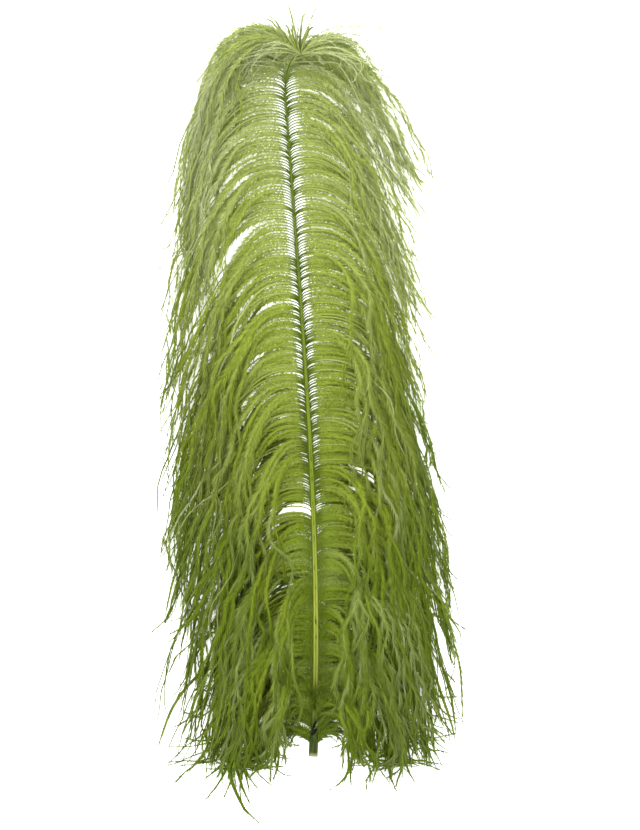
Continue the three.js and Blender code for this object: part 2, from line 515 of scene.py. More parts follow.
@dataclass
class Shaft:
    """The quill, with its bore and the opening at its top, and the grooved shaft above it."""

    line: ShaftLine
    sides: int = 32
    bore_radius: float = 2.7
    bore_depth: float = 15.5
    bore_x: float = 0.3
    bore_drop: float = 0.2
    bore_step: float = 5.2
    bore_share: float = 0.002
    bore_shade_length: float = 12.0
    groove_depth: float = 0.3
    groove_width: float = 0.26
    ridge_height: float = 0.06
    ridge_place: float = 0.5
    ridge_width: float = 0.2
    quill_step: float = 0.6
    fine_to: float = 44.0
    last_step: float = 1.0
    opening_middle: tuple[float, float] = (1.9, 24.0)
    opening_size: tuple[float, float] = (4.8, 15.5)
    opening_depth: float = 2.4
    opening_lean: float = math.radians(-24)

    def stations(self) -> list[float]:
        """Spaces the rings, close together at the quill and the curl.

        Returns:
            Their distances from the cut end.
        """
        places, along = [0.0], 0.0
        steps = ((self.fine_to, 1.2), (120, 3.0), (540, 3.0), (560, 1.4))
        while along < self.line.length - self.last_step:
            along += self.quill_step if along < self.fine_to else ramp(steps, along)
            places.append(min(along, self.line.length))
        return places

    def opening(self, x: float, y: float) -> float:
        """Measures how deep the opening is at a place seen from above.

        Args:
            x: The place to the right.
            y: The place from the cut end.

        Returns:
            From 0 outside the opening to 1 in its middle.
        """
        dx, dy = x - self.opening_middle[0], y - self.opening_middle[1]
        turn = self.opening_lean
        across = (dx * math.cos(turn) + dy * math.sin(turn)) / (self.opening_size[0] / 2)
        along = (dy * math.cos(turn) - dx * math.sin(turn)) / (self.opening_size[1] / 2)
        return math.sqrt(max(0.0, 1 - across * across - along * along))

    def ring(self, along: float) -> list[tuple[Vector, float, float]]:
        """One ring of the outer surface.

        Args:
            along: Its distance from the cut end.

        Returns:
            For each point its place, its share across from -1 to 1, and how deep in the opening it is.
        """
        at = self.line.frame(along)
        half = self.line.width(along) / 2
        flat = math.cos(math.pi / 6)
        grooved = smooth(along, self.line.quill_end - 6, self.line.quill_end + 10)
        points = []
        for i in range(self.sides):
            turn = 2 * math.pi * i / self.sides
            cross, rise = math.sin(turn), math.cos(turn)
            height = max(rise, -flat) + flat
            if rise > 0:
                groove = math.exp(-((cross / self.groove_width) ** 2)) * self.groove_depth
                from_ridge = (abs(cross) - self.ridge_place) / self.ridge_width
                ridge = math.exp(-(from_ridge**2)) * self.ridge_height
                height += (ridge - groove) * grooved
            place = at.back + at.across * (cross * half) + at.up * (height * half)
            deep = self.opening(place.x, place.y) if rise > 0.2 else 0.0
            points.append((place - at.up * (deep * self.opening_depth), cross, deep))
        return points

    def build(self, material: bpy.types.Material) -> bpy.types.Object:
        """Makes the shaft as one closed skin, from the end of the bore out over the cut end to the tip.

        Args:
            material: The horn's finish.

        Returns:
            The piece.
        """
        # Each row is a point, its share along the shaft, its share across, and how deep in a hollow it is.
        middle = self.line.quill_width / 2 - self.bore_drop
        rows = [(Vector((self.bore_x, self.bore_depth, middle)), 0.03, 0.0, 1.0)]
        round_end = self.bore_depth - self.bore_radius
        turns = (1.2, 0.8, 0.4)
        bore = [(round_end + self.bore_radius * math.sin(t), self.bore_radius * math.cos(t)) for t in turns]
        bore += [(round_end - 1 - self.bore_step * i, self.bore_radius) for i in range(6)]
        # Inside the bore the finish is the quill's, darkened inwards with painted shade.
        for y, radius in [r for r in bore if r[0] > 0] + [(0.0, self.bore_radius)]:
            for i in range(self.sides):
                turn = 2 * math.pi * i / self.sides
                place = Vector((self.bore_x + radius * math.sin(turn), y, middle + radius * math.cos(turn)))
                rows.append((place, self.bore_share * y, 0.0, smooth(y, 0, self.bore_shade_length)))
        for station in self.stations():
            rows += [(place, station / self.line.length, *rest) for place, *rest in self.ring(station)]
        end = self.line.frame(self.line.length)
        rows.append((end.back + end.up * (self.line.tip_width / 2) + end.tangent * 0.5, 1.0, 0.0, 0.0))
        points, along, cross, depth = zip(*rows)
        faces = closed_skin(self.sides, (len(points) - 2) // self.sides)
        mesh = new_mesh("shaft", points, faces, along=along, cross=cross, depth=depth)
        return add_piece("shaft", mesh, material)


@dataclass
class PulpCaps:
    """Thin domed skins of dried pulp, stacked aslant in the quill's opening."""

    shaft: Shaft
    places: tuple[float, ...] = (-0.4, 1.9, 4.2)
    length: float = 2.6
    width: float = 0.55
    dome: float = 0.7
    lean: float = math.radians(38)
    lie_at: float = 0.8
    drop: float = 0.06
    around: int = 10
    rings: int = 5

    def build(self, material: bpy.types.Material) -> bpy.types.Object:
        """Makes the caps as one piece of small closed beans.

        Args:
            material: The pulp's finish.

        Returns:
            The piece.
        """
        points: list[Vector] = []
        faces: list[tuple[int, ...]] = []
        height = self.shaft.line.quill_width * self.lie_at
        turn = self.shaft.opening_lean
        along = Vector((math.cos(self.lean), math.sin(self.lean), 0))
        across = Vector((-math.sin(self.lean), math.cos(self.lean), 0))
        for offset in self.places:
            x = self.shaft.opening_middle[0] - offset * math.sin(turn)
            y = self.shaft.opening_middle[1] + offset * math.cos(turn)
            middle = Vector((x, y, height - self.drop * abs(offset)))
            faces += closed_skin(self.around, self.rings, len(points), turned=True)
            points.append(middle - along * (self.length / 2))
            for ring in range(1, self.rings + 1):
                turned = math.pi * ring / (self.rings + 1)
                place = middle - along * (math.cos(turned) * self.length / 2)
                for i in range(self.around):
                    spin = 2 * math.pi * i / self.around
                    sideways = across * (math.cos(spin) * math.sin(turned) * self.width / 2)
                    upwards = Vector((0, 0, math.sin(spin) * math.sin(turned) * self.dome))
                    points.append(place + sideways + upwards)
            points.append(middle + along * (self.length / 2))
        return add_piece("pulp_caps", new_mesh("pulp_caps", points, faces), material)


# ---------------------------------------------------------------- the barbs


@dataclass(frozen=True)
class Sway:
    """A wave from side to side: how far it turns the barb, how long it is, and where it starts."""

    angle: float = 0.0
    length: float = 80.0
    start: float = 0.0

    @classmethod
    def draw(cls, chance: random.Random, angle: Range, length: Range) -> "Sway":
        """A wave drawn from a range of angles and a range of lengths, which starts anywhere."""
        return cls(chance.uniform(*angle), chance.uniform(*length), chance.random())

    def at(self, along: float) -> float:
        """How far the barb is turned at a distance from its root."""
        return math.sin((along / self.length + self.start) * 2 * math.pi) * self.angle


@dataclass
class Growth:
    """How one barb grows, in millimetres and degrees.

    It leaves the shaft at root_angle, swings at once to outwards, and over the length turn it bends back
    until it points towards the quill's end at the angle hang. It rises by crest in its middle, ends at
    tip_height, and is cut where it gets below lowest. Its girth, fuzz and down are shares of the usual width,
    length of the barbules and number of them. A high tone makes it paler, and a high depth deeper, partly dye
    and partly painted shade on barbs that lie under others; the hanging end can be darkened further with
    painted shade.
    """

    root: float
    side: Side
    length: float
    turn: float
    outwards: float
    hang: float
    crest: float
    tip_height: float
    root_angle: float = 54.0
    knee: float = 0.0
    tip_curl: float = 0.0
    curl_span: Range = (0.75, 1.0)
    sway: Sway = Sway()
    lift: float = 0.0
    girth: float = 1.0
    tone: float = 0.0
    depth: float = 0.0
    tip_shade: float = 0.0
    fuzz: float = 1.0
    down: float = 1.0
    broadens: Range = (4.0, 22.0)
    lowest: float = -12.0


@dataclass
class Barb:
    """The middle line of a barb and what varies along it."""

    points: list[Vector]
    shares: list[float]
    growth: Growth

    # Half the barb's width, the barbules' length and their angle to it, by the share of the barb's length.
    GIRTH = ((0.0, 0.62), (0.06, 0.52), (0.15, 0.4), (0.6, 0.34), (0.85, 0.36), (0.94, 0.27), (1.0, 0.06))
    FUZZ = ((0.0, 3.5), (0.08, 4.6), (0.3, 7.0), (0.6, 11.0), (0.85, 10.5), (1.0, 5.0))
    FAN = ((0.0, 46.0), (0.1, 38.0), (0.35, 27.0), (0.6, 15.0), (1.0, 10.0))
    # How far from the shaft the barbules start, by the root's place.
    BARE = ((120.0, -2.0), (160.0, 1.0), (200.0, 5.0), (260.0, 7.0), (560.0, 8.0))
    FLECK = 0.2

    def numbers(self, share: float) -> dict[str, float]:
        """What the nodes and the finish read at a point of the barb.

        Args:
            share: How far along the barb the point is, 0 to 1.

        Returns:
            Each attribute's number. Lengths are in metres and angles in radians.
        """
        g = self.growth
        along = share * g.length
        bare = ramp(self.BARE, g.root)
        upper = smooth(g.root, 380, 520)
        # Painted shade: the bare root beside the shaft is the darkest, and the hanging ends are darker in the
        # lower half and on the wisps.
        dark = lerp(0.5, 0.95, smooth(g.root, 150, 300)) * lerp(1.0, 0.3, smooth(g.root, 545, 575))
        hanging_shade = (g.tip_shade + 0.3 * (1 - upper)) * smooth(share, 0.3, 0.7)
        # Barbules are fewest towards the tip of the plume, and broadest near the root of a barb.
        fewest = lerp(0.65, 0.35, smooth(g.root, 250, 480))
        return {
            "girth": ramp(self.GIRTH, share) * (1 + (g.girth - 1) * smooth(along, *g.broadens)) * MM,
            "fuzz": ramp(self.FUZZ, share) * smooth(along, bare - 1, bare + 3) * g.fuzz * MM,
            "fan": math.radians(ramp(self.FAN, share)),
            "tone": clamp(g.tone * lerp(0.5, lerp(1.0, 1.5, upper), smooth(share, 0.2, 0.6))),
            "depth": max(g.depth * lerp(1.0, 0.5, share), dark - dark * smooth(along, 4, 12), hanging_shade),
            "down": g.down * lerp(1.0, fewest, smooth(share, 0.35, 0.65)),
            "broad": lerp(1.9, 1.3, smooth(share, 0.22, 0.5)),
            "fleck": self.FLECK,
        }


@dataclass(frozen=True)
class Grower:
    """Grows barbs from the shaft by one rule."""

    line: ShaftLine
    points: int = 23
    fine: int = 88
    crowding: float = 1.5
    root_swing: float = 5.0
    floor_gap: float = 0.9
    leftmost: float = -131.0
    rightmost: float = 126.0
    shortest: float = 30.0
    tries: int = 8

    def grow(self, g: Growth) -> Barb:
        """Follows a barb from inside the shaft to its tip.

        Args:
            g: How it grows.

        Returns:
            The barb, with points closer together near the shaft.
        """
        at = self.line.frame(g.root)
        half = self.line.width(g.root) / 2
        start = at.back + at.up * (half * 0.9) + at.across * (g.side.value * half * 0.7)
        step = g.length / self.fine
        x, y = start.x, start.y
        course = []
        for i in range(self.fine + 1):
            along = i * step
            share = along / g.length
            turned = along / g.turn
            slow = 0.62 * smooth(turned, 0.03, 0.44) + 0.38 * smooth(turned, 0.3, 1.4)
            sag = (g.outwards + g.hang) * lerp(slow, smooth(turned, 0.1, 0.88), g.knee)
            swing = (g.root_angle - g.outwards) * math.exp(-along / self.root_swing)
            angle = g.outwards + swing - sag + g.sway.at(along) * smooth(share, 0.15, 0.6)
            heading = math.radians(angle + g.tip_curl * smooth(share, *g.curl_span))
            arch = g.crest * math.sin(math.pi * share)
            height = lerp(start.z, g.tip_height, smooth(share, 0, 1)) + arch
            height += g.lift * smooth(share, 0.05, 0.4)
            course.append(Vector((x, y, max(height, self.floor_gap))))
            x += g.side.value * math.cos(heading) * step
            y += math.sin(heading) * step
        shares = [(i / (self.points - 1)) ** self.crowding for i in range(self.points)]
        return Barb([course[round(s * self.fine)] for s in shares], shares, g)

    def fit(self, g: Growth) -> Barb:
        """Grows a barb and shortens it until it keeps within the plume's margins.

        Args:
            g: How it grows, which this corrects.

        Returns:
            The barb.
        """
        barb = self.grow(g)
        for _ in range(self.tries):
            across = [p.x for p in barb.points]
            below = g.lowest - barb.points[-1].y
            if not self.leftmost < min(across) <= max(across) < self.rightmost:
                g.turn *= 0.94
                g.length *= 0.97
                g.tip_curl *= 0.5
            elif below > 0 and g.length > self.shortest:
                g.length = max(g.length - below, self.shortest)
            else:
                break
            barb = self.grow(g)
        return barb


@dataclass
class BarbNodes:
    """The Geometry Nodes tree that turns middle lines into barbs with barbules."""

    grower: Grower
    material: bpy.types.Material
    flatness: float = 0.4
    # Real barbules are ten times as fine and close. These are as broad and as far apart as they need to show.
    spacing: float = 0.57
    barbule_width: float = 0.33
    shortest_barbule: float = 0.3
    tree: bpy.types.GeometryNodeTree = field(init=False)
    sockets: dict[str, str] = field(init=False, default_factory=dict)

    # From least to most: a barbule's angle against the usual one, how steeply it rises, its length against
    # the usual one, the draw that decides whether it is left, and how deep its dye is.
    SPREADS = {
        "fan": (0.5, 1.5),
        "rise": (-0.02, 0.24),
        "long": (0.55, 1.25),
        "down": (0.0, 1.0),
        "fleck": (0.0, 0.38),
    }
    SEEN = ("tone", "depth", "fleck")  # what the finish reads, so it stays on the mesh
    # How far a blade leans at its root, and how far it twists from there to its tip, in radians either way.
    START_ROLL = 0.35
    END_ROLL = 1.2

    def __post_init__(self) -> None:
        """Builds the tree once for all pieces."""
        self.tree = bpy.data.node_groups.new("barbs_with_barbules", "GeometryNodeTree")
        face = self.tree.interface
        face.new_socket("Geometry", in_out="INPUT", socket_type="NodeSocketGeometry")
        for name, kind in (
            ("Flatness", "NodeSocketFloat"),
            ("Barbule Spacing", "NodeSocketFloat"),
            ("Barbule Width", "NodeSocketFloat"),
            ("Seed", "NodeSocketInt"),
        ):
            self.sockets[name] = face.new_socket(name, in_out="INPUT", socket_type=kind).identifier
        face.new_socket("Geometry", in_out="OUTPUT", socket_type="NodeSocketGeometry")
        add = partial(add_node, self.tree)
        given = add("NodeGroupInput").outputs
        names = ("roll", "girth", "fuzz", "fan", "down", "broad")
        known = {n: add("GeometryNodeInputNamedAttribute", {"Name": n}, data_type="FLOAT") for n in names}
        curve = add("GeometryNodeMeshToCurve", {0: given["Geometry"]})
        curve = add("GeometryNodeSetCurveNormal", {"Curve": curve}, mode="Z_UP")
        curve = add("GeometryNodeSetCurveTilt", {"Curve": curve, "Tilt": known["roll"]})
        curve = add("GeometryNodeSetCurveRadius", {"Curve": curve, "Radius": known["girth"]})
        parts = (self._barbules(add, given, known, curve), self._blades(add, given, known, curve))
        joined = add("GeometryNodeJoinGeometry")
        for part in parts:
            self.tree.links.new(part.outputs[0], joined.inputs[0])
        solid = add("GeometryNodeRealizeInstances", {0: joined})
        smoothed = add("GeometryNodeSetShadeSmooth", {0: solid, "Shade Smooth": True})
        dressed = add("GeometryNodeSetMaterial", {0: smoothed, "Material": self.material})
        add("NodeGroupOutput", {0: dressed})

    def _blades(self, add: Adder, given: Sockets, known: Named, curve: bpy.types.Node) -> bpy.types.Node:
        """Adds the nodes of the barbs themselves, flat blades of three sides.

        Args:
            add: Adds a node to the tree.
            given: The tree's inputs.
            known: The attributes of the middle lines.
            curve: The middle lines.

        Returns:
            The node that makes them.
        """
        circle = add("GeometryNodeCurvePrimitiveCircle", {"Resolution": 3, "Radius": 1.0}, mode="RADIUS")
        thin = add("ShaderNodeCombineXYZ", {0: given["Flatness"], 1: 1.0, 2: 1.0})
        upright = (0.0, 0.0, math.pi / 2)
        outline = add("GeometryNodeTransform", {0: circle, "Scale": thin, "Rotation": upright})
        links = {"Curve": curve, "Profile Curve": outline, "Scale": known["girth"], "Fill Caps": True}
        return add("GeometryNodeCurveToMesh", links)

    def _barbules(self, add: Adder, given: Sockets, known: Named, curve: bpy.types.Node) -> bpy.types.Node:
        """Adds the nodes of the barbules, slivers on both sides of the barbs by turns.

        Args:
            add: Adds a node to the tree.
            given: The tree's inputs.
            known: The attributes of the middle lines.
            curve: The middle lines.

        Returns:
            The node that makes them.
        """
        chance = {}
        for shift, (name, (least, most)) in enumerate(self.SPREADS.items(), 1):
            seed = add("ShaderNodeMath", {0: given["Seed"], 1: float(shift)}, operation="ADD")
            drawn = add("FunctionNodeRandomValue", {"Seed": seed, 2: least, 3: most}, data_type="FLOAT")
            chance[name] = drawn.outputs[1]
        links = {"Curve": curve, "Length": given["Barbule Spacing"]}
        places = add("GeometryNodeCurveToPoints", links, mode="LENGTH")
        bare = add("ShaderNodeMath", {0: known["fuzz"], 1: self.shortest_barbule * MM}, operation="LESS_THAN")
        sparse = add("ShaderNodeMath", {0: chance["down"], 1: known["down"]}, operation="GREATER_THAN")
        gone = add("ShaderNodeMath", {0: bare, 1: sparse}, operation="MAXIMUM")
        kept = add("GeometryNodeDeleteGeometry", {0: places, 1: gone}, domain="POINT")
        flecks = {"Geometry": kept, "Name": "fleck", "Value": chance["fleck"]}
        flecked = add("GeometryNodeStoreNamedAttribute", flecks, data_type="FLOAT", domain="POINT")
        # Every other barbule is on the left: the odd or even number makes 1 or -1.
        odd = add("ShaderNodeMath", {0: add("GeometryNodeInputIndex"), 1: 2.0}, operation="MODULO")
        doubled = add("ShaderNodeMath", {0: odd, 1: 2.0}, operation="MULTIPLY")
        side = add("ShaderNodeMath", {0: doubled, 1: 1.0}, operation="SUBTRACT")
        fan = add("ShaderNodeMath", {0: known["fan"], 1: chance["fan"]}, operation="MULTIPLY")
        ahead = add("ShaderNodeMath", {0: fan}, operation="COSINE")
        aside = add("ShaderNodeMath", {0: fan}, operation="SINE")
        aside = add("ShaderNodeMath", {0: aside, 1: side}, operation="MULTIPLY")
        forwards, sideways = (
            add("ShaderNodeVectorMath", {0: places.outputs[name], "Scale": share}, operation="SCALE")
            for name, share in (("Tangent", ahead), ("Normal", aside))
        )
        level = add("ShaderNodeVectorMath", {0: forwards, 1: sideways}, operation="ADD")
        level = add("ShaderNodeVectorMath", {0: level, 1: (1.0, 1.0, 0.4)}, operation="MULTIPLY")
        rise = add("ShaderNodeCombineXYZ", {2: chance["rise"]})
        heading = add("ShaderNodeVectorMath", {0: level, 1: rise}, operation="ADD")
        turned = add("FunctionNodeAlignRotationToVector", {"Vector": heading}, axis="Z")
        long = add("ShaderNodeMath", {0: known["fuzz"], 1: chance["long"]}, operation="MULTIPLY")
        wide = add("ShaderNodeMath", {0: given["Barbule Width"], 1: known["broad"]}, operation="MULTIPLY")
        size = add("ShaderNodeCombineXYZ", {0: wide, 1: wide, 2: long})
        shape = {"Vertices": 3, "Side Segments": 1, "Radius Top": 0.0, "Radius Bottom": 1.0, "Depth": 1.0}
        sliver = add("GeometryNodeMeshCone", shape, fill_type="NGON")
        links = {"Points": flecked, "Instance": sliver, "Rotation": turned, "Scale": size}
        return add("GeometryNodeInstanceOnPoints", links)

    def build(self, name: str, growths: Sequence[Growth], seed: int, **sizes: float) -> bpy.types.Object:
        """Grows barbs and makes them one piece.

        Args:
            name: The piece's name.
            growths: How its barbs grow.
            seed: What the barbules' lengths and leanings start from.
            **sizes: The spacing between barbules and the barbs' flatness, where they aren't the usual ones.

        Returns:
            The piece, a plain mesh.
        """
        barbs = [self.grower.fit(g) for g in growths]
        points: list[Vector] = []
        edges: list[tuple[int, int]] = []
        rows: list[dict[str, float]] = []
        rolls = random.Random(seed)
        for barb in barbs:
            first = len(points)
            points += barb.points
            edges += [(i, i + 1) for i in range(first, len(points) - 1)]
            start, turn = (rolls.uniform(-most, most) for most in (self.START_ROLL, self.END_ROLL))
            rows += [{**barb.numbers(s), "roll": start + turn * s * s} for s in barb.shares]
        numbers = {key: [row[key] for row in rows] for key in rows[0]}
        lines = bpy.data.objects.new(name + "_lines", new_mesh(name + "_lines", points, edges, **numbers))
        bpy.context.scene.collection.objects.link(lines)
        growing = lines.modifiers.new("barbs", "NODES")
        growing.node_group = self.tree
        for key, value in (
            ("Seed", seed),
            ("Flatness", sizes.get("flatness", self.flatness)),
            ("Barbule Spacing", sizes.get("spacing", self.spacing) * MM),
            ("Barbule Width", self.barbule_width * MM),
        ):
            growing[self.sockets[key]] = value
        graph = bpy.context.evaluated_depsgraph_get()
        mesh = bpy.data.meshes.new_from_object(lines.evaluated_get(graph), depsgraph=graph)
        mesh.name = name
        lines.modifiers.remove(growing)
        bpy.data.objects.remove(lines)
        for key in numbers:
            if key in mesh.attributes and key not in self.SEEN:
                mesh.attributes.remove(mesh.attributes[key])
        return add_piece(name, mesh, self.material)


@dataclass
class Vane:
    """The barbs down one side of the shaft, gathered in strands, and the strands in locks."""

    line: ShaftLine
    side: Side
    lock_start: float
    first_root: float = 32.0
    bare_tip: float = 5.0
    end_gap: float = 4.0
    locks: int = 25
    spacing: float = 2.25
    strays: float = 0.12
    loose_ones: int = 26
    ribbons: float = 0.3
    wisps: int = 95
    hems: int = 34

    # By the root's place: how far out the nearest and the farthest locks hang, how near a near lock is, and
    # the angle at which the farthest hang.
    NEAREST = ((24, 30), (130, 29), (210, 37), (300, 47), (400, 58))
    NEARNESS = ((150, 1.0), (300, 0.8), (400, 0.55), (500, 0.38), (560, 0.3))
    FARTHEST = {
        Side.LEFT: (
            *((24, 60), (60, 88), (120, 102), (180, 105), (240, 104)),
            *((300, 104), (360, 109), (420, 103), (607, 80)),
        ),
        Side.RIGHT: (
            *((24, 60), (60, 90), (120, 104), (180, 105), (290, 105)),
            *((340, 98), (400, 89), (500, 73), (607, 55)),
        ),
    }
    HANG = {
        Side.LEFT: ((24, 82), (607, 84)),
        Side.RIGHT: ((24, 83), (360, 81), (440, 74), (540, 64), (607, 64)),
    }
    SPLIT = {Side.LEFT: (193.0, 204.0), Side.RIGHT: (199.0, 203.0)}  # barbs are missing between these places
    GOLDEN = 0.618034  # spreads the locks' places evenly without a pattern
    REACH = 0.71  # how far out a barb gets, as a share of the length over which it turns down

    @property
    def last_root(self) -> float:
        """Where the locks end, a little short of the tip."""
        return self.line.length - self.bare_tip

    def chance(self, salt: int) -> random.Random:
        """The source of one layer's random numbers, other on each side."""
        return random.Random(SEED * salt + self.side.value)

    def past_split(self, root: float) -> float:
        """The root itself, or the far end of the gap in the vane where it lies in the gap."""
        start, end = self.SPLIT[self.side]
        return end if start < root < end else root

    def far(self, share: float) -> float:
        """Places a lock.

        Args:
            share: How far along the vane it grows, 0 to 1.

        Returns:
            How far out it hangs, 0 nearest to the shaft and 1 farthest.
        """
        index = min(int(share * self.locks), self.locks - 1)
        near = (1 - (self.lock_start + index * self.GOLDEN) % 1) ** 1.25
        return 1 - near * ramp(self.NEARNESS, lerp(self.first_root, self.last_root, share))

    def base(self, root: float, far: float) -> Growth:
        """The growth that the locks follow at a place on the shaft.

        Args:
            root: The barb's distance from the cut end.
            far: How far out it hangs, 0 to 1.

        Returns:
            The growth, before each strand and barb varies it.
        """
        right = self.side is Side.RIGHT
        share = clamp((root - self.first_root) / (self.last_root - self.first_root))
        curl = self.line.curl(root)
        reach = lerp(ramp(self.NEAREST, root), ramp(self.FARTHEST[self.side], root), far)
        turn = lerp(reach / self.REACH, lerp(76, 94, far) if right else lerp(96, 118, far), curl)
        hang = ramp(self.HANG[self.side], root)
        return Growth(
            root=root,
            side=self.side,
            length=turn + lerp(lerp(40, 90, smooth(share, 0, 0.3)), 66, smooth(share, 0.45, 1)),
            turn=turn,
            outwards=lerp(3, 16, curl) if right else lerp(1, 33, curl),
            hang=lerp(hang + 10, hang, far),
            crest=lerp(22, 6, far) * (1 - 0.6 * curl),
            tip_height=lerp(14, 1.7, far),
            knee=0.55 - 0.3 * smooth(root, 400, 520) if right else 0.35 * smooth(root, 380, 520),
        )

    def roots(self) -> list[float]:
        """Spaces the barbs along the shaft, a little unevenly.

        Returns:
            Where they leave it.
        """
        chance = self.chance(1)
        places, along = [], self.first_root
        while along < self.line.length - self.end_gap:
            places.append(along)
            along = self.past_split(along)
            crowded = 0.65 if along > self.line.curl_start_y + 8 else lerp(0.82, 1, smooth(along, 120, 420))
            along += self.spacing * chance.uniform(0.93, 1.07) * crowded
        return places

    def growths(self) -> list[Growth]:
        """Grows the vane of this side, from the quill to the tip.

        Returns:
            How its barbs grow.
        """
        chance = self.chance(3)
        barbs: list[Growth] = []
        # A lock fans out and has its own tone and place, and so has each strand of one to three barbs in it.
        strand_left = lock_left = 0
        for root in self.roots():
            if lock_left <= 0:
                lock_left = lock_size = chance.randint(5, 11)
                lock_fan = chance.uniform(0.5, lerp(6.0, 3.0, smooth(root, 250, 480)))
                lock_tone = chance.gauss(0, 0.06)
                lock_far = chance.uniform(-0.15, 0.15)
            if strand_left <= 0:
                strand_left = chance.randint(1, 3)
                strand = {
                    "far": lock_far + chance.uniform(-0.2, 0.2),
                    "hang": chance.gauss(0, 5),
                    "sway": chance.uniform(5, 17),
                    "wave": chance.uniform(45, 100) * lerp(1.0, 0.5, smooth(root, 250, 420)),
                    "curl": chance.gauss(0, 10),
                    "start": chance.random(),
                    "lift": chance.uniform(-1.5, 2.5),
                    "tone": lock_tone + chance.gauss(0, 0.08),
                    "longer": chance.uniform(-14, 14),
                }
            spread = lock_fan * (2 * (lock_size - lock_left) / lock_size - 1)
            barbs.append(self._in_strand(chance, root, strand, spread))
            strand_left -= 1
            lock_left -= 1
        return barbs

    def _in_strand(
        self, chance: random.Random, root: float, strand: dict[str, float], spread: float
    ) -> Growth:
        """A barb of a strand.

        Args:
            chance: The source of random numbers.
            root: The barb's distance from the cut end.
            strand: What the strand's barbs share.
            spread: How far the barb is turned in its lock's fan, in degrees.

        Returns:
            How it grows.
        """
        share = clamp((root - self.first_root) / (self.last_root - self.first_root))
        far = clamp(self.far(share) + strand["far"], 0, 1.05)
        ragged, high = 1 - smooth(root, 150, 400), smooth(root, 380, 560)
        g = self.base(root, far)
        g.outwards += chance.gauss(0, 0.6) - spread
        stray = chance.random() < self.strays
        least = ramp(self.HANG[self.side], root) - 10
        g.turn *= 1 + chance.gauss(0, 0.1 if stray else 0.05)
        g.hang += strand["hang"] + chance.gauss(0, 9 if stray else 4.5)
        g.hang = max(g.hang, lerp(least, least + 8, far))
        g.tip_curl = strand["curl"] * (1 + 2 * ragged) + chance.gauss(0, 24 if stray else 7 + 24 * ragged)
        g.lowest = chance.gauss(-11, 11)
        g.length += strand["longer"] + chance.uniform(-16, 9)
        g.sway = Sway(
            strand["sway"] * chance.uniform(0.6, 1.6) * (1 + 0.8 * ragged),
            strand["wave"] * chance.uniform(0.8, 1.2) * (1 - 0.35 * ragged),
            strand["start"] + chance.uniform(-0.2, 0.2),
        )
        g.lift = strand["lift"] + chance.uniform(-0.8, 0.8)
        g.tone = clamp(lerp(0.08, 0.48, high) + strand["tone"] + chance.gauss(0, lerp(0.12, 0.24, high)))
        g.girth, g.fuzz = chance.uniform(0.8, 1.2 + 1.4 * ragged), chance.uniform(0.8, 1.2)
        return g

    def under_growths(self) -> list[Growth]:
        """Grows the barbs that lie low, under the arches of the lower half, where the vane is thickest.

        Returns:
            How they grow.
        """
        chance = self.chance(7)
        barbs: list[Growth] = []
        root, end = 34.0, 400.0
        while root < end:
            thin = smooth(root, 250, end)
            g = self.base(root, chance.uniform(0.3, lerp(1.0, 0.85, smooth(root, 150, 280))))
            g.hang += chance.gauss(2, 6)
            g.length += chance.uniform(-20, 10)
            g.sway = Sway.draw(chance, (2, 10), (50, 110))
            g.crest, g.tip_height = chance.uniform(0, 2.5), chance.uniform(0.9, 3.0)
            g.tone = clamp(0.1 + chance.gauss(0, 0.08))
            # Painted shade: these lie under the arches, and are darkest low down where the vane is thickest.
            g.depth = chance.uniform(0.2, 0.7) * (1 - 0.7 * thin)
            g.lowest = chance.gauss(-4, 6)
            g.girth, g.fuzz = chance.uniform(3.0, 4.5), chance.uniform(1.0, 1.3)
            barbs.append(g)
            root = self.past_split(root + chance.uniform(1.4, 2.6) * (1 + 3 * thin))
        return barbs

    def loose_growths(self) -> list[Growth]:
        """Grows what has come loose: single barbs and pale ribbons on top, and fine wisps along the margin.

        Returns:
            How they grow.
        """
        chance = self.chance(17)
        barbs: list[Growth] = []
        for _ in range(self.loose_ones):
            g = self.base(lerp(60, 560, chance.random()), chance.uniform(0.6, 1.0))
            g.hang += chance.gauss(6, 12)
            g.length *= chance.uniform(0.7, 1.0)
            g.sway = Sway.draw(chance, (8, 20), (35, 80))
            g.lift = chance.uniform(1, 4)
            g.tip_curl = chance.gauss(0, 25)
            g.tone = clamp(0.35 + chance.gauss(0, 0.15))
            g.girth, g.fuzz, g.down = chance.uniform(0.9, 1.2), 0.35, 0.35
            if chance.random() < self.ribbons:
                g.girth, g.tone, g.fuzz, g.down = 2.2 * g.girth, clamp(g.tone + 0.2), 0.5, 0.6
            barbs.append(g)
        for _ in range(self.wisps):
            g = self.base(lerp(40, 590, chance.random()), chance.uniform(0.75, 0.97))
            g.hang = chance.uniform(68, 88)
            g.length *= chance.uniform(0.8, 1.1)
            g.sway = Sway.draw(chance, (4, 14), (30, 70))
            g.tip_curl = chance.gauss(8, 30)
            # Painted shade on the wisps' hanging ends.
            g.tone, g.tip_shade = clamp(0.3 + chance.gauss(0, 0.15)), 0.45
            g.girth, g.fuzz, g.down = chance.uniform(1.4, 2.2), 0.35, 0.4
            barbs.append(g)
        return barbs

    def hem_growths(self) -> list[Growth]:
        """Grows barbs darkened with painted shade under the lowest locks, whose ends turn and lie across,
        beside the quill's end.

        Returns:
            How they grow.
        """
        chance = self.chance(19)
        barbs: list[Growth] = []
        for _ in range(self.hems):
            far = chance.uniform(0.1, 0.95)
            g = self.base(chance.uniform(70, 170), far)
            inwards = far > 0.55 and chance.random() < 0.75
            g.length = UNTIL_LOWEST
            g.tip_curl, g.curl_span = chance.gauss(-84 if inwards else 76, 9), (0.73, 0.85)
            g.sway = Sway(chance.uniform(8, 24), 32.0, chance.random())
            g.crest, g.tip_height = chance.uniform(0, 4), chance.uniform(1.2, 4)
            g.lowest = chance.gauss(-7, 3)
            g.girth, g.fuzz = chance.uniform(1.8, 3.2), 0.6
            g.depth = chance.uniform(0.6, 1.1)
            barbs.append(g)
        return barbs


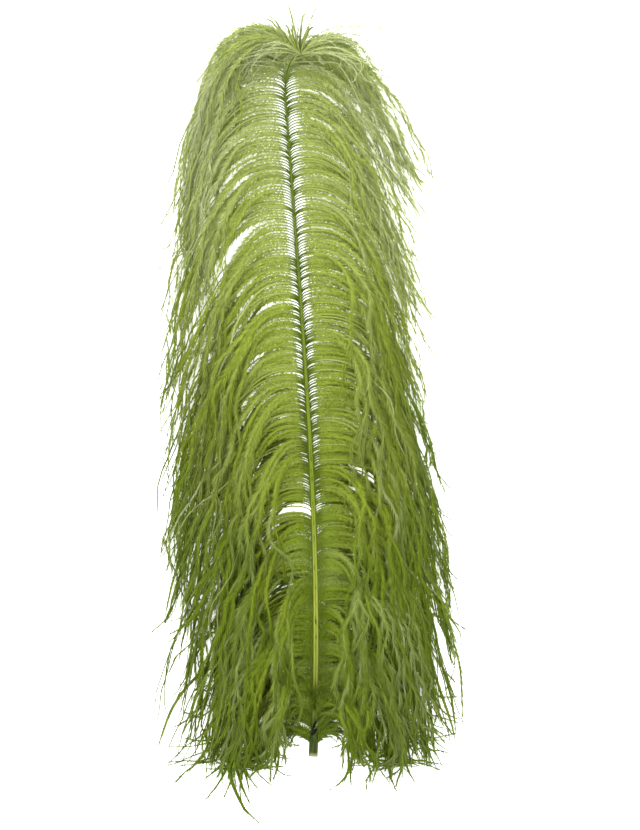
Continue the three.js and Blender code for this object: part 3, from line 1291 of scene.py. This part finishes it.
@dataclass
class Crown:
    """The barbs of the curled tip: long ones that fall to both sides, curls and hooks, and spikes."""

    line: ShaftLine
    long_ones: int = 135
    curls: int = 250
    hooks: float = 0.3
    spikes: int = 34

    def growths(self) -> list[Growth]:
        """Grows the crown.

        Returns:
            How its barbs grow.
        """
        chance = random.Random(SEED * 11)
        kinds = ((self._long_one, self.long_ones), (self._curl, self.curls), (self._spike, self.spikes))
        return [grow(chance) for grow, count in kinds for _ in range(count)]

    def _long_one(self, chance: random.Random) -> Growth:
        """A barb that rises from the curl, goes over and hangs down at the side.

        Args:
            chance: The source of random numbers.

        Returns:
            How it grows.
        """
        side = Side.LEFT if chance.random() < 0.55 else Side.RIGHT
        left = side is Side.LEFT
        root = lerp(566, self.line.length - 1, chance.random() ** 0.7)
        turn = chance.uniform(68, 118) if left else chance.uniform(56, 92)
        return Growth(
            root=root,
            side=side,
            length=turn + (chance.uniform(-35, 50) if left else chance.uniform(-30, 20)),
            turn=turn,
            outwards=lerp(4, 34 if left else 22, self.line.curl(root)) + chance.gauss(0, 8),
            hang=chance.gauss(84, 6) if left else chance.gauss(70, 8),
            knee=1.0,
            crest=chance.uniform(0, 8),
            tip_height=chance.uniform(5, 15),
            sway=Sway.draw(chance, (4, 14), (35, 70)),
            tip_curl=chance.gauss(-10, 30),
            girth=chance.uniform(0.7, 1.0),
            tone=clamp(0.3 + chance.gauss(0, 0.25)),
        )

    def _curl(self, chance: random.Random) -> Growth:
        """A short thin barb that bends over beside the curl, or a longer one that ends in a hook.

        Args:
            chance: The source of random numbers.

        Returns:
            How it grows.
        """
        side = Side.LEFT if chance.random() < 0.62 else Side.RIGHT
        root = self.line.length - chance.uniform(0.5, 34)
        outwards = chance.uniform(-12, 80)
        upright = smooth(math.radians(outwards), -0.1, 0.8)
        length = chance.uniform(4, 9) + chance.uniform(12, 38) * upright
        hooked = chance.random() < self.hooks
        if hooked:
            outwards, length = chance.uniform(0, 45), chance.uniform(30, 85)
        return Growth(
            root=root,
            side=side,
            length=length,
            turn=length * chance.uniform(0.9, 1.4),
            outwards=outwards,
            root_angle=outwards,
            hang=chance.uniform(5, 75),
            knee=1.0,
            crest=chance.uniform(5, 12) if hooked else chance.uniform(0, 4),
            tip_height=self.line.point(root).z - chance.uniform(2, 14),
            tip_curl=chance.choice((-1, 1)) * chance.uniform(60, 150) if hooked else chance.uniform(-90, 90),
            girth=chance.uniform(0.9, 1.3) if hooked else chance.uniform(0.5, 0.85),
            fuzz=0.35,
            down=0.7,
            tone=0.9 if hooked else clamp(0.6 + chance.gauss(0, 0.3)),
            depth=0.0 if hooked else max(0.0, chance.gauss(0, 0.4)),
        )

    def _spike(self, chance: random.Random) -> Growth:
        """A barb that stands out past the very tip of the plume, most of them towards the left.

        Args:
            chance: The source of random numbers.

        Returns:
            How it grows.
        """
        left = chance.random() < 0.72
        outwards = chance.uniform(34, 84) if left else chance.uniform(45, 88)
        length = chance.uniform(14, 28) + (14 if chance.random() < 0.25 else 0)
        return Growth(
            root=self.line.length - chance.uniform(0.5, 14),
            side=Side.LEFT if left else Side.RIGHT,
            length=length,
            turn=length * 1.1,
            outwards=outwards,
            root_angle=outwards,
            hang=chance.uniform(-18, 14) - outwards,
            tip_height=self.line.point(self.line.length).z - chance.uniform(0, 10),
            crest=2.0,
            tip_curl=chance.gauss(-15 if left else -25, 40),
            girth=chance.uniform(1.4, 3.2),
            fuzz=0.4,
            down=0.9,
            tone=clamp(chance.gauss(0.15, 0.2)),
            depth=chance.uniform(0.0, 0.8),
            broadens=(0.0, 3.0),
        )


@dataclass
class BaseDown:
    """The short dark curly barbs round the top of the quill, and the long strays that hang lowest."""

    line: ShaftLine
    count: int = 190

    # The barbs whose tips hang lowest: root, side, turn, how low the tip is, the tip's curl and the girth.
    LOW_TIPS = (
        (118.0, Side.LEFT, 126.0, -54.0, -48.0, 4.6),
        (104.0, Side.LEFT, 118.0, -38.0, -30.0, 4.4),
        (110.0, Side.LEFT, 127.0, -36.0, 55.0, 3.6),
        (122.0, Side.LEFT, 120.0, -33.0, 25.0, 4.6),
        (126.0, Side.LEFT, 112.0, -30.0, -15.0, 4.0),
        (130.0, Side.LEFT, 116.0, -27.0, -40.0, 3.8),
        (134.0, Side.LEFT, 104.0, -24.0, -50.0, 3.4),
        (98.0, Side.LEFT, 132.0, -22.0, 10.0, 4.0),
        (92.0, Side.LEFT, 126.0, -18.0, 60.0, 3.6),
        (62.0, Side.RIGHT, 48.0, -27.0, -50.0, 4.2),
        (70.0, Side.RIGHT, 55.0, -20.0, -20.0, 3.6),
        (66.0, Side.RIGHT, 51.0, -23.0, 15.0, 3.8),
        (108.0, Side.RIGHT, 106.0, -28.0, 20.0, 4.0),
        (120.0, Side.RIGHT, 122.0, -24.0, 45.0, 3.6),
        (96.0, Side.RIGHT, 92.0, -20.0, -15.0, 4.0),
    )
    # The barbs that lie across under the locks: root, side, length and the tip's curl.
    ACROSS = ((52.0, Side.LEFT, 104.0, -95.0), (48.0, Side.RIGHT, 92.0, -90.0))

    def growths(self) -> list[Growth]:
        """Grows the base: its barbs rise beside the quill, spread out like a fountain and curl over.

        Returns:
            How the barbs grow, with the strays after them.
        """
        chance = random.Random(SEED * 13)
        sides = (Side.RIGHT, Side.LEFT)
        return [self._curl(chance, sides[i % 2]) for i in range(self.count)] + self._strays()

    def _curl(self, chance: random.Random, side: Side) -> Growth:
        """A short barb that leaves the quill steeply and curls down.

        Args:
            chance: The source of random numbers.
            side: The side it grows on.

        Returns:
            How it grows.
        """
        steep = chance.random()
        low = chance.random() < 0.55
        root = chance.uniform(11, 34) if low else chance.uniform(34, 52)
        turn = chance.uniform(24, 46)
        return Growth(
            root=root,
            side=side,
            length=turn * chance.uniform(0.6, 1.15),
            turn=turn,
            outwards=lerp(22, 66, steep) if low else lerp(25, 75, steep),
            hang=chance.uniform(15, 80),
            root_angle=58 if low else 74,
            knee=1.0,
            fuzz=0.85 if low else 1.1,
            lowest=chance.gauss(23, 4),
            crest=chance.uniform(0, 6) if low else chance.uniform(4, 15),
            tip_height=chance.uniform(2, 9) if low else chance.uniform(4, 15),
            tip_curl=chance.gauss(-10, 40),
            sway=Sway.draw(chance, (4, 16), (25, 50)),
            girth=chance.uniform(1.0, 1.9),
            tone=clamp(chance.gauss(0.05, 0.1)),
            depth=chance.uniform(0.2, 0.9),
        )

    def _strays(self) -> list[Growth]:
        """Grows the lowest tips, and two barbs darkened with painted shade that lie across under the locks.

        Returns:
            How they grow.
        """
        lowest = [
            Growth(
                root=root,
                side=side,
                length=UNTIL_LOWEST,
                turn=turn,
                outwards=0.0,
                hang=94.0,
                tip_curl=curl,
                sway=Sway(9.0, 50.0, root / 37),
                crest=6.0,
                tip_height=1.7,
                lowest=end,
                girth=girth,
                fuzz=0.9,
                depth=0.4,
            )
            for root, side, turn, end, curl, girth in self.LOW_TIPS
        ]
        across = [
            Growth(
                root=root,
                side=side,
                length=length,
                turn=40.0,
                outwards=10.0,
                hang=84.0,
                tip_curl=curl,
                crest=2.0,
                tip_height=1.7,
                lowest=-16.0,
                girth=1.4,
                depth=0.8,
                fuzz=0.5,
            )
            for root, side, length, curl in self.ACROSS
        ]
        return lowest + across


# ---------------------------------------------------------------- the studio


@dataclass
class Studio:
    """A white table, soft light from above, and a camera that looks straight down on the plume."""

    height: float = 2.3
    view_height: float = 0.6806
    view_middle: Vector = Vector((5.7, 280.4, 0.0))
    focus_height: float = 0.008
    sensor_width: float = 36.0
    table_half: float = 3.0
    table_top: float = -0.0002
    room_light: float = 1.5

    # Each lamp's name, place, size and power.
    LAMPS = (("key", (-0.9, 0.9, 1.9), 1.4, 24.0), ("fill", (1.1, -0.3, 2.0), 1.6, 14.0))

    def build(self) -> None:
        """Adds the table, the lights and the camera."""
        self._table()
        self._lights()
        self._camera()

    def _table(self) -> None:
        """Adds the light table that the plume lies on."""
        corners = ((-1, -1), (1, -1), (1, 1), (-1, 1))
        mesh = bpy.data.meshes.new("table")
        places = [(x * self.table_half, y * self.table_half, self.table_top) for x, y in corners]
        mesh.from_pydata(places, [], [(0, 1, 2, 3)])
        mesh.materials.append(OpalAcrylic().build())
        table = bpy.data.objects.new("table", mesh)
        bpy.context.scene.collection.objects.link(table)

    def _lights(self) -> None:
        """Adds a large soft key from the upper left, a fill from the right and the even light of the room."""
        scene = bpy.context.scene
        scene.world = bpy.data.worlds.new("studio_room")
        scene.world.use_nodes = True
        room = scene.world.node_tree.nodes["Background"]
        room.inputs["Color"].default_value = hex_colour("#FFFFFF")
        room.inputs["Strength"].default_value = self.room_light
        for name, place, size, power in self.LAMPS:
            light = bpy.data.lights.new(name, "AREA")
            light.size = size
            light.energy = power
            lamp = bpy.data.objects.new(name, light)
            lamp.location = place
            lamp.rotation_mode = "QUATERNION"
            lamp.rotation_quaternion = (-Vector(place)).to_track_quat("-Z", "Y")
            scene.collection.objects.link(lamp)
        scene.view_settings.view_transform = "Standard"

    def _camera(self) -> None:
        """Adds a long lens straight above the plume, with the tip at the top of the picture."""
        data = bpy.data.cameras.new("camera")
        data.sensor_width = self.sensor_width
        data.lens = self.sensor_width * (self.height - self.focus_height) / self.view_height
        data.clip_end = 20.0
        camera = bpy.data.objects.new("camera", data)
        camera.location = (self.view_middle + CUT_END) * MM + Vector((0.0, 0.0, self.height))
        bpy.context.scene.collection.objects.link(camera)
        bpy.context.scene.camera = camera


def main() -> None:
    """Builds the plume and the studio."""
    logging.basicConfig(level=logging.INFO, format="%(message)s")
    line = ShaftLine()
    shaft = Shaft(line)
    shaft.build(DyedHorn().build())
    PulpCaps(shaft).build(DriedPulp().build())
    nodes = BarbNodes(Grower(line), DyedBarbs().build())
    hems: list[Growth] = []
    for side, lock_start in ((Side.LEFT, 0.55), (Side.RIGHT, 0.15)):
        name, seed = side.name.lower(), SEED + side.value
        vane = Vane(line, side, lock_start)
        growths = vane.growths()
        third = math.ceil(len(growths) / 3)
        for i, part in enumerate(("lower", "middle", "upper")):
            nodes.build(f"barbs_{name}_{part}", growths[i * third : (i + 1) * third], seed + 7 * i)
        nodes.build(f"under_barbs_{name}", vane.under_growths(), seed + 40, spacing=4.0, flatness=0.15)
        nodes.build(f"loose_barbs_{name}", vane.loose_growths(), seed + 45, spacing=1.0)
        hems += vane.hem_growths()
    nodes.build("crown_barbs", Crown(line).growths(), SEED + 50, spacing=0.8)
    nodes.build("base_down", BaseDown(line).growths() + hems, SEED + 60, spacing=0.9)
    Studio().build()


if __name__ == "__main__":
    main()
